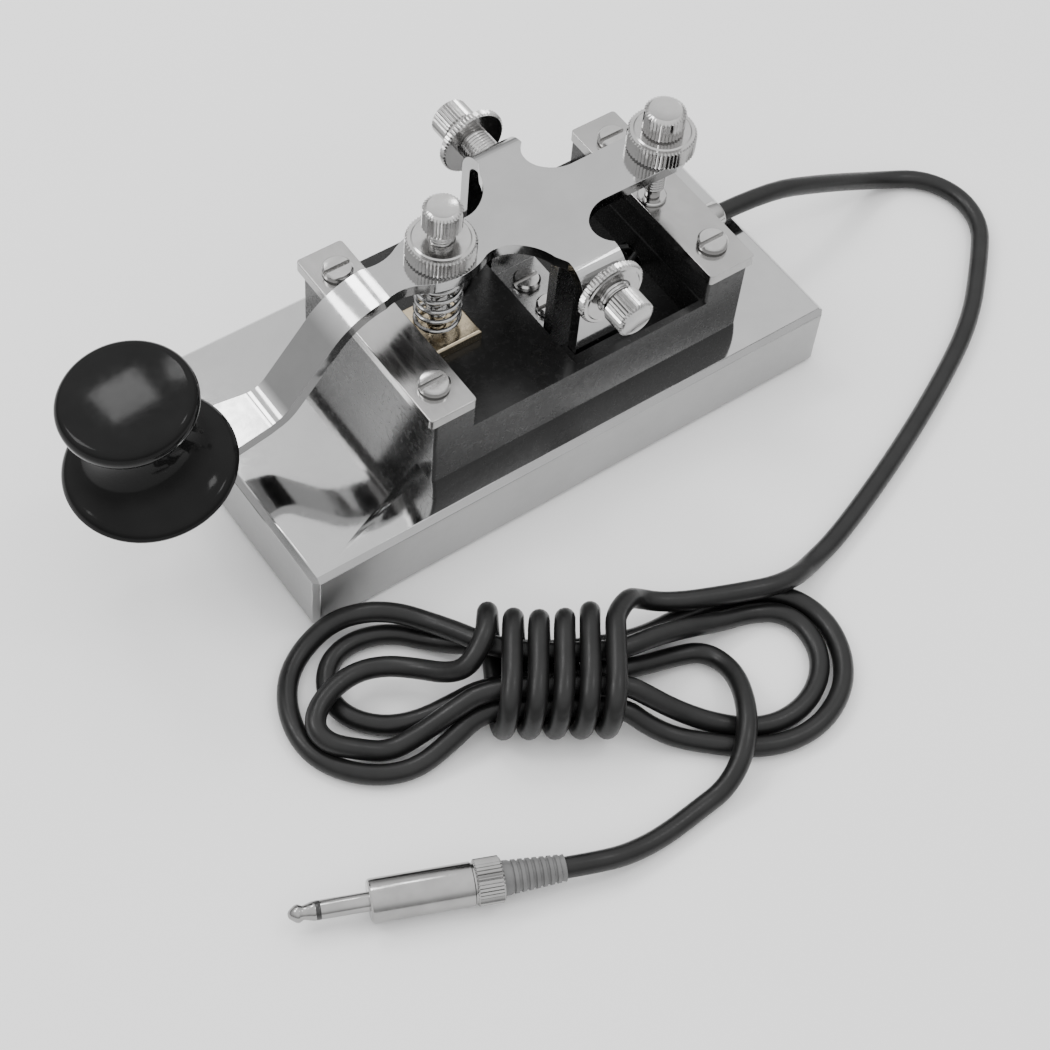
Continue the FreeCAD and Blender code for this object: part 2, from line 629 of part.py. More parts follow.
def tube(label, route, radius):
    """Round cord along straight runs joined by tangent arcs, as large as the runs allow."""
    points = [Vector(*spot) for spot in route]
    radii = []
    for before, corner, after in zip(points, points[1:], points[2:]):
        half_turn = (corner - before).getAngle(after - corner) / 2
        shorter = min((corner - before).Length, (after - corner).Length)
        radii.append(0.45 * shorter / math.tan(half_turn))
    path = Part.Wire([curve.toShape() for curve in bent_edges(points, radii)])
    start = (points[1] - points[0]).normalize()
    section = Part.Wire(Part.Circle(points[0], start, radius).toShape())
    item = doc.addObject("Part::Feature", label)
    item.Shape = path.makePipeShell([section], True, False)
    item.Placement = Placement()
    expected = math.pi * radius ** 2 * path.Length
    print(f"{label}: length {path.Length:.1f}, volume/expected {item.Shape.Volume / expected:.4f}, "
          f"smallest radius {min(radii):.1f}, radii {[round(radius, 1) for radius in radii]}")
    return piece(item, label)


# --- contacts, stop and spring ----------------------------------------------------------------

def make_contact_seat():
    """Square metal plate on the block, under the spring."""
    floor = f"{PLATE_TOP} + block_floor"
    plate = box("seat_form", ("0 - front_screw_x - seat_side / 2", "seat_side / 2 - front_screw_x"),
                ("0 - seat_side / 2", "seat_side / 2"), (floor, "seat_top"))
    hole = cylinder("seat_hole", "contact_radius + running_clearance", "seat_top", "0 - front_screw_x",
                    "0", floor)
    blank = cut("seat_blank", plate, hole)
    top = size("seat_top")
    return piece(soften("Part::Chamfer", "contact_seat", blank, size("chamfer"), level_at(top)),
                 "contact_seat")


def make_lower_contact():
    """Contact rivet through the seat."""
    floor = f"{PLATE_TOP} + block_floor - 2"
    rivet = cylinder("rivet_form", "contact_radius", f"seat_top + contact_rise - ( {floor} )",
                     "0 - front_screw_x", "0", floor)
    return piece(soften("Part::Chamfer", "lower_contact", rivet, size("chamfer") / 2, rims),
                 "lower_contact")


def make_rear_anvil():
    """Hard disc on the rear strap that the rear screw rests on."""
    disc = cylinder("anvil_form", "anvil_radius", "anvil_height", "rear_screw_x", "0", STRAP_TOP)
    return piece(soften("Part::Chamfer", "rear_anvil", disc, size("chamfer") / 2, rims), "rear_anvil")


def make_return_spring():
    """Compression spring between the seat and the underside of the lever."""
    wire, radius = size("spring_wire"), size("spring_radius")
    low = size("seat_top") + wire + 0.1
    high = size("lever_top") - size("lever_thickness") - wire - 0.1
    corners = int(size("spring_corners"))
    count = int(size("spring_turns") * corners)
    route = []
    for i in range(count + 1):
        angle = 2 * math.pi * i / corners
        route.append((radius * math.cos(angle) - size("front_screw_x"), radius * math.sin(angle),
                      low + (high - low) * i / count))
    return tube("return_spring", route, wire)


# --- knob -------------------------------------------------------------------------------------

def leaning(item):
    """Turn an upright item about the knob's foot, square to the sloping end of the lever."""
    foot = Vector(-size("knob_x"), 0, size("knob_foot"))
    turn = Rotation(Vector(0, 1, 0), -math.degrees(knob_lean()))
    item.Placement = Placement(Vector(), turn, foot)
    doc.recompute()
    return item


def make_knob():
    """Turned knob: wide skirt, hollow waist and a flat cap with a rounded rim."""
    body = doc.addObject("PartDesign::Body", "knob")
    profile = sketch(body, "knob_profile", "XZ_Plane")
    spots = [("0", "knob_bore_depth"), ("knob_bore_radius", "knob_bore_depth"), ("knob_bore_radius", "0"),
             ("knob_bottom_radius", "0"), ("knob_skirt_radius", "knob_edge_height"),
             ("knob_shoulder_radius", "knob_shoulder_height"), ("knob_waist_radius", "knob_waist_height"),
             ("knob_cap_radius - 1", "knob_cap_under"), ("knob_cap_radius", "knob_rim_height"),
             ("knob_crown_radius", "knob_crown_height"), ("0", "knob_height")]
    points = [Vector(number_of(x), number_of(z), 0) for x, z in spots]
    # Edges that are arcs: the cell that holds the radius, and which side the arc bulges to.
    arcs = {3: ("knob_edge_curve", 1), 5: ("knob_flare_curve", -1), 6: ("knob_neck_curve", -1),
            8: ("knob_rim_curve", 1), 9: ("knob_crown_curve", 1)}
    for i, (here, there) in enumerate(zip(points, points[1:] + points[:1])):
        curve = Part.LineSegment(here, there)
        if i in arcs:
            radius, side = size(arcs[i][0]), arcs[i][1]
            chord = there - here
            sagitta = radius - math.sqrt(radius ** 2 - chord.Length ** 2 / 4)
            outwards = Vector(chord.y, -chord.x, 0).normalize()
            curve = Part.Arc(here, here + chord / 2 + outwards * (side * sagitta), there)
        profile.addGeometry(curve)
    for i, (x, z) in enumerate(spots):
        previous = (i - 1) % len(spots)
        here_end = arc_end(profile, i, points[i])
        previous_end = arc_end(profile, previous, points[i])
        profile.addConstraint(Sketcher.Constraint("Coincident", previous, previous_end, i, here_end))
        pin_point(profile, i, here_end, x, z)
    for i, (radius, side) in arcs.items():
        index = profile.addConstraint(Sketcher.Constraint("Radius", i, size(radius)))
        profile.setExpression(f"Constraints[{index}]", cells(radius))
    turned = body.newObject("PartDesign::Revolution", "knob_turned")
    turned.Profile = profile
    turned.ReferenceAxis = (profile, ["V_Axis"])
    turned.Angle = 360
    body.Placement = Placement(Vector(), Rotation(Vector(0, 1, 0), -math.degrees(knob_lean())))
    bind(body, x="0 - knob_x", z="knob_foot")
    doc.recompute()
    return piece(body, "knob")


def arc_end(profile, index, spot):
    """Which end of a sketch edge lies at a spot, as the sketcher numbers them."""
    return 1 if profile.getPoint(index, 1).distanceToPoint(spot) < 1e-6 else 2


def make_knob_insert():
    """Threaded brass bush moulded into the knob."""
    form = cylinder("insert_form", "knob_bore_radius", "knob_bore_depth - 1", "0 - knob_x", "0",
                    "knob_foot")
    bore = cylinder("insert_bore", "stud_radius", "knob_bore_depth - 2", "0 - knob_x", "0",
                    "knob_foot")
    return piece(leaning(cut("knob_insert", form, bore)), "knob_insert")


def make_knob_screw():
    """Screw that holds the knob from below."""
    under = "knob_foot - lever_thickness - washer_height"
    head = cylinder("knob_screw_head", "stud_head_radius", "stud_head_height", "0 - knob_x", "0",
                    f"{under} - stud_head_height")
    shank = cylinder("knob_screw_shank", "stud_radius", "stud_length + lever_thickness",
                     "0 - knob_x", "0", under)
    blank = soften("Part::Chamfer", "knob_screw_blank", fuse("knob_screw_form", head, shank),
                   size("chamfer"), rims_over(size("stud_radius")))
    slot = box("knob_screw_slot", ("0 - knob_x - stud_head_radius", "stud_head_radius - knob_x"),
               ("0 - screw_slot_width / 2", "screw_slot_width / 2"),
               (f"{under} - stud_head_height - 1", f"{under} - stud_head_height + screw_slot_depth"))
    return piece(leaning(cut("knob_screw", blank, slot)), "knob_screw")


def make_knob_washer():
    """Washer under the knob screw's head."""
    low = "knob_foot - lever_thickness - washer_height"
    disc = cylinder("washer_form", "washer_radius", "washer_height", "0 - knob_x", "0", low)
    hole = cylinder("washer_hole", "stud_radius + running_clearance", "washer_height",
                    "0 - knob_x", "0", low)
    return piece(leaning(cut("knob_washer", disc, hole)), "knob_washer")


# --- lead, hank and plug ----------------------------------------------------------------------

def make_gland():
    """Metal ferrule that brings the lead out through the block's rear end."""
    body = cylinder("gland_body", "gland_radius", "block_rear + 4 - gland_inner", "gland_inner", "0",
                    "gland_height", "X")
    taper = cone("gland_taper", "gland_radius", "gland_mouth_radius", "gland_mouth - block_rear - 4",
                 "block_rear + 4", "0", "gland_height", "X")
    bore = cylinder("gland_bore", "cord_radius + running_clearance", "gland_depth",
                    "gland_mouth - gland_depth", "0", "gland_height", "X")
    return piece(cut("cord_gland", fuse("gland_form", body, taper), bore), "cord_gland")


def make_gland_ring():
    """Ring that holds the ferrule against the block."""
    form = cylinder("ring_form", "gland_ring_radius", "gland_ring_length", "block_rear", "0",
                    "gland_height", "X")
    bore = cylinder("ring_bore", "gland_radius", "gland_ring_length", "block_rear", "0",
                    "gland_height", "X")
    return piece(cut("gland_ring", form, bore), "gland_ring")


def make_cord_lead():
    """The lead from the gland over the plate's edge, round on the table and back to the hank."""
    rest = size("cord_rest")
    height = size("gland_height")
    route = [
        (size("gland_mouth") - size("gland_depth"), 0, height), (69, 0, height),
        (88, 0.2, 11.6), (106.7, 0.2, rest), (115.2, -4.4, rest), (119.2, -12.8, rest),
        (117.5, -22.0, rest), (110.8, -29.2, rest), (96.5, -42.2, rest), (77, -52.6, rest),
        (56, -62.0, rest), (36, -69.6, rest), (23, -73.0, rest), (11.5, -70.3, rest),
    ]
    return tube("cord_lead", route, size("cord_radius"))


def make_cord_tail():
    """The end of the cord from the hank to the plug."""
    rest = size("cord_rest")
    plug = Vector(-size("plug_x"), -size("plug_y"), size("plug_axis"))
    away = Rotation(Vector(0, 0, 1), size("plug_turn")).multVec(Vector(-1, 0, 0))
    route = [
        (-5, -91, rest), (-12.0, -98.3, rest), (-23.5, -102.4, rest), (-36.0, -103.8, rest),
        tuple(plug + away * 7), tuple(plug),
    ]
    return tube("cord_tail", route, size("cord_radius"))


# The hank lies in its own frame: along its length, across it, and up.
HANK_PLACE = (-32.8, -66.1)
HANK_TURN = -32.7
HANK_LEFT = (-31.0, -1.5, 20.3, 18.5)
HANK_RIGHT = (36.5, 4.6, 21.7, 19.2)
HANK_LOOP_HEIGHT = 8.5
HANK_MIDDLE = ((-14.3, 15.8), (-11.3, 15.3))
HANK_MIDDLE_HEIGHT = 15.0
HANK_ROUNDING = 5.0


def make_cord_hank():
    """Outer shape of the tied hank: a loop end each side of the wrapped middle."""
    solids = []
    for name, (along, across, long_radius, wide_radius) in (("left", HANK_LEFT), ("right", HANK_RIGHT)):
        oval = doc.addObject("Part::Ellipse", f"hank_{name}_oval")
        oval.MajorRadius = long_radius
        oval.MinorRadius = wide_radius
        oval.Placement.Base = Vector(along, across, 0.05)
        loops = doc.addObject("Part::Extrusion", f"hank_{name}_loops")
        loops.Base = oval
        loops.DirMode = "Custom"
        loops.Dir = Vector(0, 0, 1)
        loops.LengthFwd = HANK_LOOP_HEIGHT
        loops.Solid = True
        solids.append(loops)
    (left, right), (low, high) = HANK_MIDDLE
    middle = doc.addObject("Part::Box", "hank_middle_form")
    middle.Length, middle.Width, middle.Height = right - left, high - low, HANK_MIDDLE_HEIGHT
    middle.Placement.Base = Vector(left, low, 0.05)
    rounded = soften("Part::Fillet", "hank_middle", middle, HANK_ROUNDING,
                     lambda edge: isinstance(edge.Curve, Part.Line) and abs(edge.Curve.Direction.x) > 0.99)
    hank = fuse("cord_hank", *solids, rounded)
    hank.Placement = Placement(Vector(*HANK_PLACE, 0), Rotation(Vector(0, 0, 1), HANK_TURN))
    return piece(hank, "cord_hank")


def lay_on_plug_axis(item):
    """Put a plug piece, drawn along X from the cord's end, where the plug lies."""
    item.Placement = Placement(Vector(), Rotation(Vector(0, 0, 1), size("plug_turn")))
    return bind(item, x="0 - plug_x", y="0 - plug_y", z="plug_axis")


def make_plug():
    """The plug, from the cord inwards: relief, barrel with collar, sleeve, ring and tip."""
    relief = cone("relief_form", "relief_end_radius", "relief_radius", "relief_length",
                  "0", "0", "0", "X")
    barrel = cylinder("barrel_form", "barrel_radius", "barrel_length", "relief_length", "0", "0", "X")
    collar = cylinder("collar_form", "collar_radius", "collar_length", "relief_length", "0", "0", "X")
    step = size("relief_length") + size("collar_length")
    shell = soften("Part::Chamfer", "plug_barrel", fuse("barrel_blank", barrel, collar),
                   size("chamfer"), lambda edge: rims(edge) and abs(edge.BoundBox.XMin - step) > 0.1)
    reach = "relief_length + barrel_length"
    sleeve = cylinder("sleeve_form", "sleeve_radius", "sleeve_length", reach, "0", "0", "X")
    ring = cylinder("insulator_form", "sleeve_radius", "ring_length", f"{reach} + sleeve_length",
                    "0", "0", "X")
    start = f"{reach} + sleeve_length + ring_length"
    neck = cone("tip_neck", "sleeve_radius", "sleeve_radius - 0.45", "tip_length * 0.45", start,
                "0", "0", "X")
    bulb = cone("tip_bulb", "sleeve_radius - 0.45", "sleeve_radius - 0.1", "tip_length * 0.15",
                f"{start} + tip_length * 0.45", "0", "0", "X")
    nose = cone("tip_nose", "sleeve_radius - 0.1", "0.5", "tip_length * 0.4",
                f"{start} + tip_length * 0.6", "0", "0", "X")
    parts = (("plug_relief", group("plug_relief", relief)), ("plug_barrel", shell),
             ("plug_sleeve", group("plug_sleeve", sleeve)),
             ("plug_insulator", group("plug_insulator", ring)),
             ("plug_tip", fuse("plug_tip", neck, bulb, nose)))
    for label, item in parts:
        piece(lay_on_plug_axis(item), label)


# Space between a conductor's cut end and the metal that it is soldered to.
WIRE_END_GAP = 0.3


def make_wires():
    """The two conductors from the gland: one to the contact seat, one to the bracket."""
    radius = size("wire_radius")
    floor = size("pad_height") + size("plate_height") + size("pocket_floor") + radius + 0.05
    step = size("pad_height") + size("plate_height") + size("block_floor") + radius + 0.05
    start = size("gland_inner") - WIRE_END_GAP
    edge = size("pocket_front")
    seat = size("seat_side") / 2 - size("front_screw_x") + WIRE_END_GAP
    bracket = size("pivot_x") + size("bracket_length") / 2 + WIRE_END_GAP
    tube("signal_wire", [(start, 1.2, floor + 1), (29, 4, floor + 0.3), (22, 12, floor), (13, 15, floor),
                         (edge + 3.2, 14.6, floor + 0.6), (edge + 1.7, 13.8, floor + 4),
                         (edge + 0.8, 12.9, step + 1.4), (edge - 2.6, 10.4, step + 0.3), (-4, 6, step),
                         (seat, 5, step)], radius)
    tube("frame_wire", [(start, -1.2, floor + 1), (29, -3.2, floor + 0.2), (22, -6.5, floor),
                        (bracket, -7, floor)], radius)


def check_and_write():
    """Stop on any failed object, then write one file for each sub-part."""
    doc.recompute()
    for item in doc.Objects:
        if "Invalid" in item.State or "Error" in item.State:
            raise RuntimeError(f"{item.Label} failed: {item.State}")
    os.makedirs("parts", exist_ok=True)
    for item in pieces:
        if item.Shape.isNull() or not item.Shape.isValid() or not item.Shape.Solids:
            raise RuntimeError(f"{item.Label} has no valid solid")
    for item in pieces:
        item.Shape.exportStep(f"parts/{item.Label}.step")
    print(f"{len(pieces)} sub-parts written")


make_base_pad()
make_base_plate()
make_key_block()
make_strap("front_strap", "0 - front_strap_x", "front_strap_width")
make_strap("rear_strap", "rear_strap_x", "rear_strap_width")
make_strap_screws()
make_pivot_bracket()
make_bracket_screws()
make_bearing_cup("near_bearing_cup", "-")
make_bearing_cup("far_bearing_cup", "+")
make_lever()
make_pivot_screw("near_pivot_screw", "-", "near_head_y", "near_end_y")
make_pivot_screw("far_pivot_screw", "+", "far_head_y", "far_end_y")
PIVOT_BORE = "pivot_screw_radius + running_clearance"
make_lock_disc("near_lock_disc", "pivot_disc_radius", PIVOT_BORE, "pivot_disc_thickness", "pivot_x",
               "0 - ear_outside - running_clearance", "pivot_height", "-Y")
make_lock_disc("far_lock_disc", "pivot_disc_radius", PIVOT_BORE, "pivot_disc_thickness", "pivot_x",
               "far_disc_y", "pivot_height", "Y")
ADJUSTER_BORE = "adjuster_radius + running_clearance"
make_adjuster("front_adjuster", "0 - front_screw_x", "front_head_radius", "front_head_bottom",
              "seat_top + contact_rise + contact_gap")
make_lock_disc("front_lock_disc", "lock_disc_radius", ADJUSTER_BORE, "front_disc_height",
               "0 - front_screw_x", "0", "lever_top + running_clearance")
make_adjuster("rear_adjuster", "rear_screw_x", "rear_head_radius",
              "lever_top + rear_disc_height + running_clearance * 2",
              f"{STRAP_TOP} + anvil_height + stop_gap")
make_lock_disc("rear_lock_disc", "lock_disc_radius", ADJUSTER_BORE, "rear_disc_height",
               "rear_screw_x", "0", "lever_top + running_clearance")
make_contact_seat()
make_lower_contact()
make_rear_anvil()
make_return_spring()
make_knob()
make_knob_insert()
make_knob_screw()
make_knob_washer()
make_gland()
make_gland_ring()
make_wires()
make_cord_lead()
make_cord_hank()
make_cord_tail()
make_plug()
check_and_write()
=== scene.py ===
import math

import bmesh
import bpy
from mathutils import Matrix, Vector


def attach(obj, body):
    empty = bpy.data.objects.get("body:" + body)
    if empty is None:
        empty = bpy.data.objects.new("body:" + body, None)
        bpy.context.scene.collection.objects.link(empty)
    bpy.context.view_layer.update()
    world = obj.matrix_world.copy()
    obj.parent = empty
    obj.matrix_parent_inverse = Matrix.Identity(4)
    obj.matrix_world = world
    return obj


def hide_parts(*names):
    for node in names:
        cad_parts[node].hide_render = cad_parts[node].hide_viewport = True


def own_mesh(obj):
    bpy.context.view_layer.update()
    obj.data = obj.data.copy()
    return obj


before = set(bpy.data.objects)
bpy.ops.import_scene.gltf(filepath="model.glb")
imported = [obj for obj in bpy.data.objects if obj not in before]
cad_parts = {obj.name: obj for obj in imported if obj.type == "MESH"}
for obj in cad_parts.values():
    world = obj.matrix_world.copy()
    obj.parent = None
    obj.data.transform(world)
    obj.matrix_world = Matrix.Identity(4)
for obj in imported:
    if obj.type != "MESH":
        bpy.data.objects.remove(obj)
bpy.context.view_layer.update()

# Looks for a straight telegraph key: mirror-polished plate, glossy block and knob, bright lever
# and knurled screws, and a black lead tied in a hank. Lengths are metres, and MM turns
# millimetres into them.

MM = 0.001


def mm(*numbers):
    """A point given in millimetres."""
    return Vector(numbers) * MM


# --- camera -----------------------------------------------------------------------------------

CAMERA_PLACE = mm(-185.4, -229.1, 372.5)
CAMERA_AZIMUTH = math.radians(-40.99)
CAMERA_ELEVATION = math.radians(55.01)
CAMERA_ROLL = math.radians(6.69)
CAMERA_LENS = 78.15
SENSOR = 36.0


def make_camera():
    """Camera above the knob end, looking down across the near side."""
    level = math.cos(CAMERA_ELEVATION)
    back = Vector((math.sin(CAMERA_AZIMUTH) * level, -math.cos(CAMERA_AZIMUTH) * level,
                   math.sin(CAMERA_ELEVATION)))
    right = (-back).cross(Vector((0, 0, 1))).normalized()
    up = back.cross(right)
    cosine, sine = math.cos(CAMERA_ROLL), math.sin(CAMERA_ROLL)
    turned_right = cosine * right + sine * up
    turned_up = cosine * up - sine * right
    data = bpy.data.cameras.new("camera")
    data.lens = CAMERA_LENS
    data.sensor_width = SENSOR
    data.clip_start = 0.01
    camera = bpy.data.objects.new("camera", data)
    bpy.context.scene.collection.objects.link(camera)
    axes = Matrix((turned_right, turned_up, back)).transposed().to_4x4()
    camera.matrix_world = Matrix.Translation(CAMERA_PLACE) @ axes
    bpy.context.scene.camera = camera


make_camera()

# --- cord: lead, tied hank and tail in one line -------------------------------------------------

# Numbers are in millimetres. REST is the height of the centre line where the cord lies on the
# table.
CORD_RADIUS = 2.0
REST = 2.05

# Where the cord ends in the plug's relief, and the way that the plug points from there.
PLUG_START = (-53.6, -99.2, 4.3)
PLUG_TURN = math.radians(157)
PLUG_WAY = (math.cos(PLUG_TURN), math.sin(PLUG_TURN), 0.0)

# From inside the ferrule, over the plate's edge and round on the table to the hank.
LEAD = [
    (51, 0, 20.0), (69, 0, 20.0), (88, 0.2, 11.6), (106.7, 0.2, REST), (115.2, -4.4, REST),
    (119.2, -12.8, REST), (117.5, -22.0, REST), (110.8, -29.2, REST), (96.5, -42.2, REST),
    (77, -52.6, REST), (56, -62.0, REST), (36, -69.6, REST),
]

# The hank in its own frame: along it, across it, up. It is wound from the lead's end.
HANK_PLACE = mm(-32.8, -66.1, 0)
HANK_TURN = math.radians(-32.7)

HANK_ENTRY = [
    (53.2, 27.2, 2.6), (49.2, 22.4, 5.2), (44.4, 19.4, 6.5), (38.6, 18.0, 6.7), (32.4, 16.9, 6.6),
    (26.6, 16.0, 6.5), (21.4, 15.7, 6.7), (17.4, 15.4, 8.4), (14.8, 13.4, 11.8),
]

# The wraps: points in a turn, first and last point, where they start along the hank and how far
# apart they are, then the middle, reach and squareness of their section.
WRAP_POINTS = 14
WRAP_FIRST = 2
WRAP_LAST = 73
WRAP_START = 12.6
WRAP_PITCH = 4.85
WRAP_CENTRE = (-0.4, 8.4)
WRAP_REACH = (11.6, 6.4)
WRAP_SQUARENESS = 0.62
# How far the far end of each turn is drawn in.
WRAP_NARROWING = (0, 0, 1.6, 1.9, 1.5, 0)

HANK_LOOPS = [
    # out of the last wrap, round the middle loop of the left end and back through the wraps
    (-14.2, 0.7, 13.6), (-16.6, -2.1, 11.8), (-20.2, -1.4, 9.2), (-25.2, 1.0, 7.0),
    (-31.0, 2.2, 6.2), (-36.4, 1.0, 6.2), (-40.8, -2.4, 6.2), (-43.8, -6.6, 6.0),
    (-44.4, -10.8, 5.6), (-41.8, -13.8, 5.2), (-37.2, -14.4, 4.2), (-30.6, -14.3, 2.5),
    (-24.6, -11.2, 4.2), (-18.8, -8.3, 7.4), (-13.0, -5.5, 10.0), (0.0, -4.9, 10.2),
    (13.0, -4.5, 10.1),
    # the inner loop of the right end
    (17.5, -6.1, 8.4), (22.5, -7.4, 5.6), (29.0, -8.6, 3.0), (36.0, -9.6, REST), (42.4, -8.8, REST),
    (48.2, -5.0, REST), (51.8, 0.8, REST), (52.6, 7.0, REST), (50.2, 13.2, REST),
    (45.6, 16.4, REST), (39.6, 16.0, REST), (33.6, 13.2, 3.4), (27.0, 10.4, 6.0), (20.0, 6.8, 8.8),
    (13.0, 2.9, 10.1), (4.0, 2.3, 10.2), (-6.0, 2.4, 10.2), (-13.0, 4.7, 10.0),
    # the outer loop of the left end
    (-17.5, 8.1, 8.4), (-22.6, 11.4, 6.6), (-28.6, 13.8, 6.4), (-35.0, 14.2, 6.2),
    (-41.2, 13.0, 4.6), (-46.4, 8.8, 2.4), (-49.4, 2.6, REST), (-49.6, -4.0, REST),
    (-47.8, -10.0, REST),
    (-44.4, -14.8, REST), (-38.6, -18.0, REST), (-31.8, -19.0, REST), (-25.4, -17.4, REST),
    (-19.8, -13.2, 3.4), (-13.0, -7.5, 6.6), (0.0, -7.3, 6.8), (13.0, -7.5, 6.7),
    # the outer loop of the right end
    (17.0, -9.7, 4.4), (22.5, -11.6, 2.4), (29.5, -12.9, REST), (37.0, -13.9, REST),
    (44.6, -12.8, REST), (51.4, -8.6, REST), (56.0, -1.8, REST), (57.2, 5.4, REST),
    (55.6, 12.6, REST), (51.4, 18.0, REST), (45.2, 20.8, REST), (38.4, 20.4, REST),
    (31.6, 17.8, REST), (25.0, 14.4, 2.4), (19.0, 9.7, 4.6), (13.0, 6.6, 6.7),
    (4.0, 4.9, 6.8), (-6.0, 4.9, 6.8), (-13.0, 6.7, 6.6),
    # the inner loop of the left end, and through the wraps for the last time
    (-17.6, 8.1, 4.0), (-23.0, 10.2, REST), (-29.4, 12.0, REST), (-36.0, 10.8, REST),
    (-40.8, 7.2, REST), (-42.6, 1.8, REST), (-41.4, -3.4, REST), (-37.2, -7.2, REST),
    (-31.0, -8.6, REST), (-24.6, -7.2, REST), (-18.4, -4.9, 4.2), (-13.0, -2.9, 6.3),
    (0.0, -1.1, 6.3), (13.0, 0.9, 6.3),
    # the tail leaves under the right end's top strands and humps over its lower ones
    (18.0, 3.1, 4.2), (24.0, 6.0, 2.4), (29.4, 7.4, REST), (33.4, 4.8, 2.6), (35.6, -0.2, 4.4),
    (36.2, -6.8, 6.3), (35.8, -12.8, 6.7), (34.2, -18.6, 5.2), (31.0, -22.9, 2.7),
]

# The tail on the table and its last run, which is in line with the plug.
TAIL = [
    (-24.2, -102.4, REST), (-34.0, -103.3, REST), (-41.4, -103.0, 2.9), (-47.16, -101.94, 4.3),
    PLUG_START,
]


def wrap_route():
    """The wraps round the middle: they start on the far side, go over the top and under."""
    across, up = WRAP_CENTRE
    wide, high = WRAP_REACH
    points = []
    for i in range(WRAP_FIRST, WRAP_LAST + 1):
        turn = i / WRAP_POINTS
        angle = 2 * math.pi * turn
        side, rise = math.cos(angle), math.sin(angle)
        reach = wide - (WRAP_NARROWING[round(turn)] if side > 0 else 0)
        points.append((WRAP_START - WRAP_PITCH * turn,
                       across + reach * math.copysign(abs(side) ** WRAP_SQUARENESS, side),
                       up + high * math.copysign(abs(rise) ** WRAP_SQUARENESS, rise)))
    return points


def cord_route():
    """The whole cord's control points, in metres."""
    hank = HANK_ENTRY + wrap_route() + HANK_LOOPS
    lay = Matrix.Translation(HANK_PLACE) @ Matrix.Rotation(HANK_TURN, 4, "Z")
    return ([mm(*point) for point in LEAD] + [lay @ mm(*point) for point in hank]
            + [mm(*point) for point in TAIL])


def smooth_line(name, points, radius):
    """Round cord on one NURBS spline with the points as its control points."""
    curve = bpy.data.curves.new(name, "CURVE")
    curve.dimensions = "3D"
    spline = curve.splines.new("NURBS")
    spline.points.add(len(points) - 1)
    for place, point in zip(spline.points, points):
        place.co = (*point, 1)
    spline.order_u = 3
    spline.use_endpoint_u = True
    spline.resolution_u = 6
    curve.bevel_depth = radius
    curve.bevel_resolution = 6
    curve.use_fill_caps = True
    item = bpy.data.objects.new(name, curve)
    bpy.context.scene.collection.objects.link(item)
    return item


# --- materials ---------------------------------------------------------------------------------

# Each material has two noises: a broad one for its colour, and a fine one for its gloss and
# relief. PLATE_SATIN is the roughness added to the plate's upright faces.
BROAD_SHARE = 0.12
BROAD_DETAIL = 3.0
FINE_DETAIL = 6.0
NOISE_ROUGHNESS = 0.55
NOISE_LOW = 0.3
COLOUR_HIGH = 0.7
GLOSS_HIGH = 0.72
RELIEF_DISTANCE = 0.00008
PLATE_SATIN = 0.38


def ramp(nodes, links, source, stops):
    """Colour ramp fed by a socket; stops are (place, colour) pairs."""
    node = nodes.new("ShaderNodeValToRGB")
    elements = node.color_ramp.elements
    for element, (place, colour) in zip(elements, (stops[0], stops[-1])):
        element.position = place
        element.color = (*colour, 1)
    for place, colour in stops[1:-1]:
        element = elements.new(place)
        element.color = (*colour, 1)
    links.new(source, node.inputs["Fac"])
    return node.outputs["Color"]


def noise(nodes, links, scale, detail, stretch=(1, 1, 1)):
    """Noise over the object's own coordinates, stretched for grain."""
    place = nodes.new("ShaderNodeTexCoord")
    turn = nodes.new("ShaderNodeMapping")
    turn.inputs["Scale"].default_value = stretch
    links.new(place.outputs["Object"], turn.inputs["Vector"])
    node = nodes.new("ShaderNodeTexNoise")
    node.inputs["Scale"].default_value = scale
    node.inputs["Detail"].default_value = detail
    node.inputs["Roughness"].default_value = NOISE_ROUGHNESS
    links.new(turn.outputs["Vector"], node.inputs["Vector"])
    return node.outputs["Fac"]


def grey(level, warmth=0.0):
    """Neutral colour, a little warmer for positive warmth."""
    return (level * (1 + warmth), level, level * (1 - warmth))


def material(name, dark, light, rough, grain, bump, metallic=1.0, stretch=(1, 1, 1), specular=0.5):
    """Surface whose colour, gloss and fine relief all vary with noise; a metal unless said."""
    made = bpy.data.materials.new(name)
    made.use_nodes = True
    nodes, links = made.node_tree.nodes, made.node_tree.links
    shader = nodes["Principled BSDF"]
    shader.inputs["Metallic"].default_value = metallic
    shader.inputs["Specular IOR Level"].default_value = specular
    broad = noise(nodes, links, grain * BROAD_SHARE, BROAD_DETAIL)
    fine = noise(nodes, links, grain, FINE_DETAIL, stretch)
    links.new(ramp(nodes, links, broad, [(NOISE_LOW, dark), (COLOUR_HIGH, light)]),
              shader.inputs["Base Color"])
    low, high = rough
    links.new(ramp(nodes, links, fine, [(NOISE_LOW, grey(low)), (GLOSS_HIGH, grey(high))]),
              shader.inputs["Roughness"])
    relief = nodes.new("ShaderNodeBump")
    relief.inputs["Strength"].default_value = bump
    relief.inputs["Distance"].default_value = RELIEF_DISTANCE
    links.new(fine, relief.inputs["Height"])
    links.new(relief.outputs["Normal"], shader.inputs["Normal"])
    return made


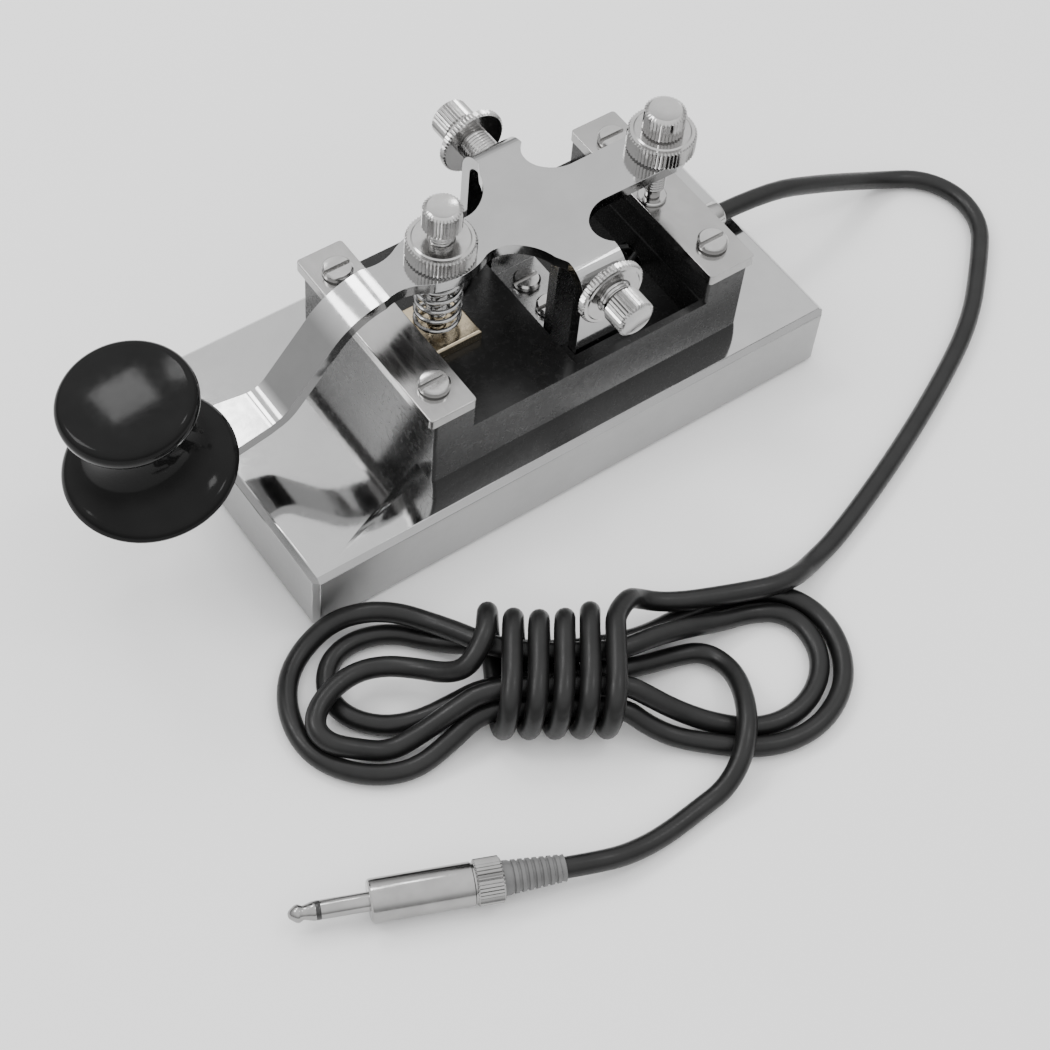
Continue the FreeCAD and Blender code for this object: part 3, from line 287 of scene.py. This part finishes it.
def satin_sides(look, added):
    """Make the upright faces of a material rougher than its level ones."""
    nodes, links = look.node_tree.nodes, look.node_tree.links
    rough = nodes["Principled BSDF"].inputs["Roughness"]
    polished = rough.links[0].from_socket
    facing = nodes.new("ShaderNodeTexCoord")
    parts = nodes.new("ShaderNodeSeparateXYZ")
    links.new(facing.outputs["Normal"], parts.inputs[0])
    level = nodes.new("ShaderNodeMath")
    level.operation = "ABSOLUTE"
    links.new(parts.outputs["Z"], level.inputs[0])
    extra = nodes.new("ShaderNodeMath")
    extra.operation = "MULTIPLY_ADD"
    extra.inputs[1].default_value = -added
    extra.inputs[2].default_value = added
    links.new(level.outputs[0], extra.inputs[0])
    total = nodes.new("ShaderNodeMath")
    links.new(polished, total.inputs[0])
    links.new(extra.outputs[0], total.inputs[1])
    links.new(total.outputs[0], rough)


MIRROR = material("mirror_plate", grey(0.40), grey(0.43), rough=(0.05, 0.10), grain=900, bump=0.02)
satin_sides(MIRROR, PLATE_SATIN)
CHROME = material("bright_chrome", grey(0.37), grey(0.41), rough=(0.06, 0.13), grain=700, bump=0.03)
STRAP_METAL = material("strap_nickel", grey(0.32, 0.01), grey(0.38, 0.01), rough=(0.12, 0.24),
                       grain=900, bump=0.06, stretch=(1, 0.12, 1))
SCREW_METAL = material("plated_screws", grey(0.38, 0.01), grey(0.46, 0.01), rough=(0.10, 0.22),
                       grain=1400, bump=0.06)
STEEL = material("plated_steel", grey(0.30), grey(0.38), rough=(0.2, 0.34), grain=1100, bump=0.08)
SPRING_STEEL = material("spring_steel", grey(0.30), grey(0.38), rough=(0.18, 0.3), grain=1500,
                        bump=0.05)
BRASS = material("turned_brass", (0.40, 0.34, 0.24), (0.48, 0.41, 0.30), rough=(0.16, 0.3),
                 grain=1600, bump=0.06)
PLASTIC = material("black_moulding", grey(0.008), grey(0.013), rough=(0.18, 0.32), grain=800,
                   bump=0.05, metallic=0.0, specular=0.28)
KNOB_PLASTIC = material("knob_moulding", grey(0.005), grey(0.009), rough=(0.07, 0.14), grain=600,
                        bump=0.03, metallic=0.0, specular=0.1)
RUBBER = material("pad_rubber", grey(0.020), grey(0.040), rough=(0.6, 0.85), grain=1500, bump=0.5,
                  metallic=0.0, specular=0.3)
SHEATH = material("cord_sheath", grey(0.005), grey(0.010), rough=(0.28, 0.42), grain=1300,
                  bump=0.25, metallic=0.0, specular=0.3)
WRAPPED_WIRE = material("wire_insulation", grey(0.010), grey(0.020), rough=(0.28, 0.42), grain=1400,
                        bump=0.15, metallic=0.0, specular=0.3)
SOFT_SLEEVE = material("relief_sleeve", grey(0.10), grey(0.15), rough=(0.42, 0.6), grain=1300,
                       bump=0.3, metallic=0.0)
PLUG_METAL = material("plug_nickel", grey(0.27, 0.01), grey(0.34, 0.01), rough=(0.10, 0.22),
                      grain=1300, bump=0.05)
INSULATOR = material("ring_plastic", grey(0.012), grey(0.022), rough=(0.2, 0.32), grain=1400,
                     bump=0.05, metallic=0.0)


# --- shapes ------------------------------------------------------------------------------------

# Edges flatter than FLAT are dissolved, those sharper than SHARP are shaded hard, and rounding
# takes those sharper than ROUNDED_FROM. Corners closer than WELD, in metres, become one.
FLAT = math.radians(0.6)
SHARP = math.radians(32)
ROUNDED_FROM = math.radians(38)
WELD = 2e-6


def finish_piece(item, look, slot, body, *nodes):
    """Give a piece its material and say what it rides on and stands for."""
    item.data.materials.clear()
    item.data.materials.append(look)
    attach(item, body)
    if nodes:
        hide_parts(*nodes)
    return item


def mesh_piece(name, shape):
    """Object from a bmesh, smooth except across sharp edges."""
    data = bpy.data.meshes.new(name)
    bmesh.ops.recalc_face_normals(shape, faces=shape.faces)
    shape.to_mesh(data)
    shape.free()
    data.shade_smooth()
    data.set_sharp_from_angle(angle=SHARP)
    item = bpy.data.objects.new(name, data)
    bpy.context.scene.collection.objects.link(item)
    return item


def softened(name, node, width, look, slot, body="root", segments=3):
    """A CAD node's own shape with its edges rounded."""
    shape = bmesh.new()
    shape.from_mesh(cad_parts[node].data)
    bmesh.ops.remove_doubles(shape, verts=shape.verts, dist=WELD)
    bmesh.ops.dissolve_limit(shape, angle_limit=FLAT, verts=shape.verts, edges=shape.edges)
    item = mesh_piece(name, shape)
    rounding = item.modifiers.new("rounding", "BEVEL")
    rounding.width = width * MM
    rounding.segments = segments
    rounding.limit_method = "ANGLE"
    rounding.angle_limit = ROUNDED_FROM
    rounding.harden_normals = True
    return finish_piece(item, look, slot, body, node)


def turned(name, rows, place, direction, look, slot, body, nodes, segments=96):
    """Turned piece: rows are (along, radius, wave), and a wave changes the radius with angle."""
    shape = bmesh.new()
    along = Vector(direction).normalized()
    lay = Matrix.Translation(mm(*place)) @ along.to_track_quat("Z", "X").to_matrix().to_4x4()
    rings = []
    for height, radius, wave in rows:
        if radius == 0:
            rings.append([shape.verts.new(lay @ mm(0, 0, height))] * segments)
            continue
        ring = []
        for step in range(segments):
            angle = 2 * math.pi * step / segments
            reach = radius + (wave(angle, height, step) if wave else 0)
            ring.append(shape.verts.new(lay @ mm(reach * math.cos(angle), reach * math.sin(angle),
                                                 height)))
        rings.append(ring)
    for low, high in zip(rings, rings[1:]):
        for step in range(segments):
            after = (step + 1) % segments
            corners = []
            for corner in (low[step], low[after], high[after], high[step]):
                if corner not in corners:
                    corners.append(corner)
            if len(corners) > 2:
                shape.faces.new(corners)
    for ring in (rings[0], rings[-1]):
        if ring[0] is not ring[1]:
            shape.faces.new(ring)
    return finish_piece(mesh_piece(name, shape), look, slot, body, *nodes)


def teeth(depth, period):
    """Straight knurling: full radius at every period-th step of the ring, lowest half way."""
    half = period / 2

    def wave(angle, height, step):
        return -depth * (1 - abs((step % period) - half) / half)
    return wave


def thread(depth, pitch):
    """Screw thread of one start."""
    def wave(angle, height, step):
        turn = height / pitch - angle / (2 * math.pi)
        return -depth * (0.5 + 0.5 * math.cos(2 * math.pi * turn))
    return wave


def even(low, high, step):
    """Places from low to high, about a step apart, both ends included."""
    count = max(1, round((high - low) / step))
    return [low + (high - low) * i / count for i in range(count + 1)]


def threaded(low, high, radius, pitch=0.7, depth=0.22):
    """Rows of a threaded shank."""
    return [(height, radius, thread(depth, pitch)) for height in even(low, high, pitch / 6)]


def knurled(low, high, radius, wave, edge=0.35):
    """Rows of a knurled band with a small plain chamfer at each end."""
    rows = [(low, radius - edge - 0.15, None), (low + edge, radius - 0.05, wave)]
    rows += [(height, radius, wave) for height in even(low + edge, high - edge, 1.0)]
    return rows + [(high - edge, radius - 0.05, wave), (high, radius - edge - 0.15, None)]


def coil(name, place, radius, wire, low, high, turns, around=36, across=10):
    """Compression spring of round wire, its centre line rising evenly from low to high."""
    shape = bmesh.new()
    rings = []
    for step in range(turns * around + 1):
        angle = 2 * math.pi * step / around
        height = low + (high - low) * step / (turns * around)
        ring = []
        for part in range(across):
            lean = 2 * math.pi * part / across
            reach = radius + wire * math.cos(lean)
            ring.append(shape.verts.new(mm(place[0] + reach * math.cos(angle),
                                           place[1] + reach * math.sin(angle),
                                           height + wire * math.sin(lean))))
        rings.append(ring)
    for before, after in zip(rings, rings[1:]):
        for part in range(across):
            beside = (part + 1) % across
            shape.faces.new((before[part], before[beside], after[beside], after[part]))
    shape.faces.new(rings[0])
    shape.faces.new(rings[-1])
    return mesh_piece(name, shape)


# --- base, block and straps --------------------------------------------------------------------

softened("plate", "base_plate", 0.3, MIRROR, "base")
softened("block", "key_block", 0.45, PLASTIC, "block")
softened("strap_front", "front_strap", 0.35, STRAP_METAL, "strap")
softened("strap_rear", "rear_strap", 0.35, STRAP_METAL, "strap")
softened("screws_strap", "strap_screws", 0.12, SCREW_METAL, "screws", segments=2)
softened("bracket", "pivot_bracket", 0.3, STEEL, "bracket")
softened("seat", "contact_seat", 0.15, BRASS, "contact", segments=2)
softened("arm", "lever", 0.3, CHROME, "lever", "lever")

for node, look in (("base_pad", RUBBER), ("bracket_screws", SCREW_METAL),
                   ("near_bearing_cup", STEEL), ("far_bearing_cup", STEEL),
                   ("lower_contact", BRASS), ("rear_anvil", SCREW_METAL), ("knob_insert", BRASS),
                   ("knob_screw", SCREW_METAL), ("knob_washer", SCREW_METAL),
                   ("signal_wire", WRAPPED_WIRE), ("frame_wire", WRAPPED_WIRE)):
    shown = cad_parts[node]
    shown.data.materials.clear()
    shown.data.materials.append(look)


# --- adjusting screws, pivot screws and their lock discs -----------------------------------------

# In millimetres: the lever's top, the adjusters' places along it, the pivot's middle, where the
# lock discs stand and their radii, and the threaded shanks' radii with the play round them. Then
# the teeth of a disc and of a screw's head, and the steps that draw one tooth.
LEVER_TOP = 51.0
FRONT_X = -15.0
REAR_X = 37.0
PIVOT = (10.0, 0.0, 44.8)
NEAR_DISC_Y = -20.05
FAR_DISC_Y = 24.5
DISC_GAP = 0.05
ADJUSTER_DISC = 6.9
PIVOT_DISC = 7.3
ADJUSTER_SHANK = 2.35
PIVOT_SHANK = 3.5
THREAD_PLAY = 0.05
DISC_TEETH = 56
HEAD_TEETH = 34
STEPS = 4


def screw(name, node, rows, place, direction):
    """Knurled screw that stands for one node and turns with its body."""
    turned(name, rows, place, direction, SCREW_METAL, "adjusters", node, (node,),
           segments=HEAD_TEETH * STEPS)


def adjuster(name, node, x, tip, head_low, head_high, radius):
    """Long adjusting screw: plain tip, threaded shank and a knurled head with a dished top."""
    rows = [(tip, 1.3, None), (tip + 0.3, 1.6, None), (tip + 2.2, 1.6, None),
            (tip + 2.5, 2.1, None)]
    rows += threaded(tip + 2.9, head_low - 0.5, ADJUSTER_SHANK)
    rows += [(head_low - 0.4, 2.05, None), (head_low, 2.05, None)]
    rows += knurled(head_low, head_high - 0.25, radius, teeth(0.28, STEPS))
    rows += [(head_high, radius - 0.95, None), (head_high - 0.12, radius - 1.5, None),
             (head_high - 0.3, 0, None)]
    screw(name, node, rows, (x, 0, 0), (0, 0, 1))


def lock_disc(name, node, place, direction, radius, thickness, hole):
    """Thin knurled nut with a plain raised face."""
    rows = [(0.0, hole, None)]
    rows += knurled(0.0, thickness - 0.2, radius, teeth(0.34, STEPS))
    rows += [(thickness - 0.2, radius - 1.1, None), (thickness, radius - 1.4, None),
             (thickness, hole + 0.35, None), (thickness - 0.3, hole, None)]
    turned(name, rows, place, direction, SCREW_METAL, "adjusters", node, (node,),
           segments=DISC_TEETH * STEPS)


def pivot_screw(name, node, head_low, head_high, side):
    """Pivot screw: cone point, plain nose, threaded shank and a knurled head."""
    rows = [(10.1, 0.3, None), (11.6, 1.8, None), (13.7, 1.8, None), (14.0, 3.1, None)]
    rows += threaded(14.4, head_low - 0.4, PIVOT_SHANK)
    rows += [(head_low - 0.3, 3.1, None), (head_low, 3.1, None)]
    rows += knurled(head_low, head_high - 0.2, 4.1, teeth(0.28, STEPS))
    rows += [(head_high, 3.2, None), (head_high - 0.1, 2.8, None), (head_high - 0.25, 0, None)]
    screw(name, node, rows, PIVOT, (0, side, 0))


adjuster("screw_front", "front_adjuster", FRONT_X, tip=31.55, head_low=58.2, head_high=63.6,
         radius=3.9)
adjuster("screw_rear", "rear_adjuster", REAR_X, tip=37.35, head_low=55.65, head_high=61.05,
         radius=4.2)
for name, node, x, thickness in (("disc_front", "front_lock_disc", FRONT_X, 4.2),
                                 ("disc_rear", "rear_lock_disc", REAR_X, 4.55)):
    lock_disc(name, node, (x, 0, LEVER_TOP + DISC_GAP), (0, 0, 1), ADJUSTER_DISC, thickness,
              hole=ADJUSTER_SHANK + THREAD_PLAY)
pivot_screw("pivot_near", "near_pivot_screw", head_low=24.0, head_high=29.5, side=-1)
pivot_screw("pivot_far", "far_pivot_screw", head_low=28.5, head_high=34.0, side=1)
for name, node, y, side in (("disc_near", "near_lock_disc", NEAR_DISC_Y, -1),
                            ("disc_far", "far_lock_disc", FAR_DISC_Y, 1)):
    lock_disc(name, node, (PIVOT[0], y, PIVOT[2]), (0, side, 0), PIVOT_DISC, thickness=2.0,
              hole=PIVOT_SHANK + THREAD_PLAY)

SPRING_LOW = 31.05
SPRING_HIGH = 47.95
SPRING_RADIUS = 4.35
SPRING_WIRE = 0.45
SPRING_TURNS = 6

spring = coil("spring", (FRONT_X, 0.0), SPRING_RADIUS, SPRING_WIRE, SPRING_LOW, SPRING_HIGH,
              SPRING_TURNS)
finish_piece(spring, SPRING_STEEL, "spring", "root", "return_spring")
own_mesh(spring)


# --- knob --------------------------------------------------------------------------------------

def arc_rows(first, last, radius, side, count):
    """Rows along an arc between two (radius, height) spots; side says which way it bulges."""
    (r1, h1), (r2, h2) = first, last
    chord = Vector((r2 - r1, h2 - h1))
    sagitta = math.sqrt(radius ** 2 - chord.length ** 2 / 4)
    outward = Vector((chord.y, -chord.x)).normalized() * side
    centre = Vector(((r1 + r2) / 2, (h1 + h2) / 2)) - outward * sagitta
    begin = math.atan2(h1 - centre.y, r1 - centre.x)
    end = math.atan2(h2 - centre.y, r2 - centre.x)
    sweep = (end - begin + math.pi) % (2 * math.pi) - math.pi
    angles = [begin + sweep * i / count for i in range(count + 1)]
    return [(centre.y + radius * math.sin(angle), centre.x + radius * math.cos(angle), None)
            for angle in angles]


# The lever's pad bends down at PAD_BEND_X, and the knob leans with the bent end that it stands on.
PAD_BEND_X = 71.0
PAD_TOP = 31.0
KNOB_X = 78.6
KNOB_Z = 29.86
KNOB_FOOT = (-KNOB_X, 0.0, KNOB_Z)
KNOB_LEAN = math.atan2(PAD_TOP - KNOB_Z, KNOB_X - PAD_BEND_X)
KNOB_AXIS = (-math.sin(KNOB_LEAN), 0, math.cos(KNOB_LEAN))


def make_knob():
    """Turned knob with a smooth skirt, hollow waist and rounded cap."""
    rows = [(10.0, 4.05, None), (0.3, 4.05, None), (0.0, 4.35, None)]
    rows += arc_rows((15.6, 0.0), (16.5, 1.0), 0.9, 1, 5)
    rows += arc_rows((16.5, 1.0), (14.8, 2.6), 2.4, 1, 6)
    rows += arc_rows((14.8, 2.6), (7.6, 12.5), 11.0, -1, 18)[1:]
    rows += arc_rows((7.6, 12.5), (12.0, 19.2), 6.4, -1, 14)[1:]
    rows += arc_rows((12.0, 19.2), (13.0, 21.4), 3.0, 1, 6)[1:]
    rows += arc_rows((13.0, 21.4), (11.0, 23.7), 2.04, 1, 10)[1:]
    rows += arc_rows((11.0, 23.7), (0.001, 24.3), 101.13, 1, 8)[1:-1]
    rows += [(24.3, 0, None)]
    turned("knob_cap", rows, KNOB_FOOT, KNOB_AXIS, KNOB_PLASTIC, "knob", "lever",
           ("knob",), segments=128)


make_knob()


# --- ferrule -----------------------------------------------------------------------------------

FERRULE_START = (0, 0, 20.0)


def make_ferrule():
    """Turned ferrule with its bore, and the ring against the block."""
    rows = [(34.2, 3.0, None), (34.5, 3.4, None), (46.0, 3.4, None), (48.0, 3.4, None),
            (48.3, 3.1, None), (48.9, 3.1, None), (49.2, 3.3, None), (56.6, 2.85, None),
            (57.0, 2.6, None), (57.0, 2.35, None), (56.7, 2.06, None), (51.0, 2.06, None)]
    turned("ferrule", rows, FERRULE_START, (1, 0, 0), SCREW_METAL, "screws", "root",
           ("cord_gland",))
    rows = [(44.0, 3.4, None), (44.0, 3.7, None), (44.2, 3.85, None), (45.7, 3.85, None),
            (46.0, 3.6, None), (46.0, 3.4, None)]
    turned("ferrule_ring", rows, FERRULE_START, (1, 0, 0), SCREW_METAL, "screws", "root",
           ("gland_ring",))


make_ferrule()


# --- plug and cord -------------------------------------------------------------------------------

RELIEF_RIBS = 7
RIB_PITCH = 1.3
COLLAR_TEETH = 36


def plug_piece(name, node, rows, look, slot, segments=96):
    """Turned piece on the plug's axis."""
    return turned(name, rows, PLUG_START, PLUG_WAY, look, slot, "root", (node,), segments=segments)


def make_plug():
    """Relief, barrel with a knurled collar, sleeve, ring and tip."""
    relief = [(0.0, 2.1, None), (0.15, 2.5, None)]
    for rib in range(RELIEF_RIBS):
        low = 1.0 + rib * RIB_PITCH
        radius = 2.55 + 0.6 * rib / RELIEF_RIBS
        relief += [(low, radius - 0.28, None), (low + 0.12, radius, None),
                   (low + 0.78, radius + 0.03, None), (low + 0.9, radius - 0.25, None)]
    relief += [(10.4, 3.15, None), (11.6, 3.2, None)]
    barrel = knurled(11.6, 16.6, 4.25, teeth(0.24, STEPS), edge=0.3)
    barrel += [(16.6, 3.75, None), (16.9, 3.75, None), (17.1, 4.0, None), (35.0, 4.0, None),
               (35.35, 3.9, None), (35.6, 3.6, None)]
    sleeve = [(35.6, 1.75, None), (44.0, 1.75, None), (44.2, 1.7, None)]
    ring = [(44.2, 1.68, None), (44.3, 1.74, None), (45.0, 1.74, None), (45.1, 1.68, None)]
    tip = [(45.1, 1.7, None), (45.25, 1.75, None), (45.6, 1.72, None), (46.4, 1.5, None),
           (47.1, 1.3, None), (47.4, 1.3, None), (47.9, 1.58, None), (48.2, 1.66, None),
           (48.7, 1.55, None), (49.4, 1.05, None), (49.85, 0.65, None), (50.0, 0.3, None)]
    return [
        plug_piece("relief", "plug_relief", relief, SOFT_SLEEVE, "relief"),
        plug_piece("barrel", "plug_barrel", barrel, PLUG_METAL, "plug", COLLAR_TEETH * STEPS),
        plug_piece("plug_shaft", "plug_sleeve", sleeve, PLUG_METAL, "plug"),
        plug_piece("plug_ring", "plug_insulator", ring, INSULATOR, "insulator"),
        plug_piece("plug_point", "plug_tip", tip, PLUG_METAL, "plug"),
    ]


cord = smooth_line("cord", cord_route(), CORD_RADIUS * MM)
finish_piece(cord, SHEATH, "cord", "root", "cord_lead", "cord_hank", "cord_tail")
make_plug()


# --- floor, light and world ----------------------------------------------------------------------

FLOOR_REACH = 6.0
WORLD_STRENGTH = 1.9


def make_floor():
    """Wide pale floor under the pad."""
    shape = bmesh.new()
    bmesh.ops.create_grid(shape, x_segments=1, y_segments=1, size=FLOOR_REACH)
    floor = mesh_piece("floor", shape)
    paint = material("floor_paint", grey(0.93), grey(0.95), rough=(0.7, 0.8), grain=40, bump=0.0,
                     metallic=0.0)
    floor.data.materials.append(paint)


def make_light(name, place, target, side, power):
    """Large square soft light aimed at a point."""
    data = bpy.data.lights.new(name, "AREA")
    data.energy = power
    data.size = side
    lamp = bpy.data.objects.new(name, data)
    bpy.context.scene.collection.objects.link(lamp)
    lamp.location = mm(*place)
    lamp.rotation_euler = (mm(*target) - lamp.location).to_track_quat("-Z", "Y").to_euler()


def make_world():
    """Even studio surroundings, brightest overhead and dimmer round the horizon."""
    world = bpy.data.worlds.new("studio")
    bpy.context.scene.world = world
    world.use_nodes = True
    nodes, links = world.node_tree.nodes, world.node_tree.links
    place = nodes.new("ShaderNodeTexCoord")
    split = nodes.new("ShaderNodeSeparateXYZ")
    links.new(place.outputs["Generated"], split.inputs["Vector"])
    colour = ramp(nodes, links, split.outputs["Z"],
                  [(0.0, grey(0.25)), (0.25, grey(0.38)), (0.6, grey(0.84)), (1.0, grey(1.0))])
    shade = nodes["Background"]
    links.new(colour, shade.inputs["Color"])
    shade.inputs["Strength"].default_value = WORLD_STRENGTH


make_floor()
make_light("key_light", (110, 430, 691), (-80, 0, 55), side=0.09, power=0.28)
make_light("knob_light", (-72, 452, 714), (-82, 0, 54), side=0.15, power=0.9)
make_light("far_light", (-560, 450, 820), (-30, 0, 40), side=0.3, power=2.6)
make_light("near_light", (292, -178, 722), (10, -20, 45), side=0.12, power=0.5)
make_world()
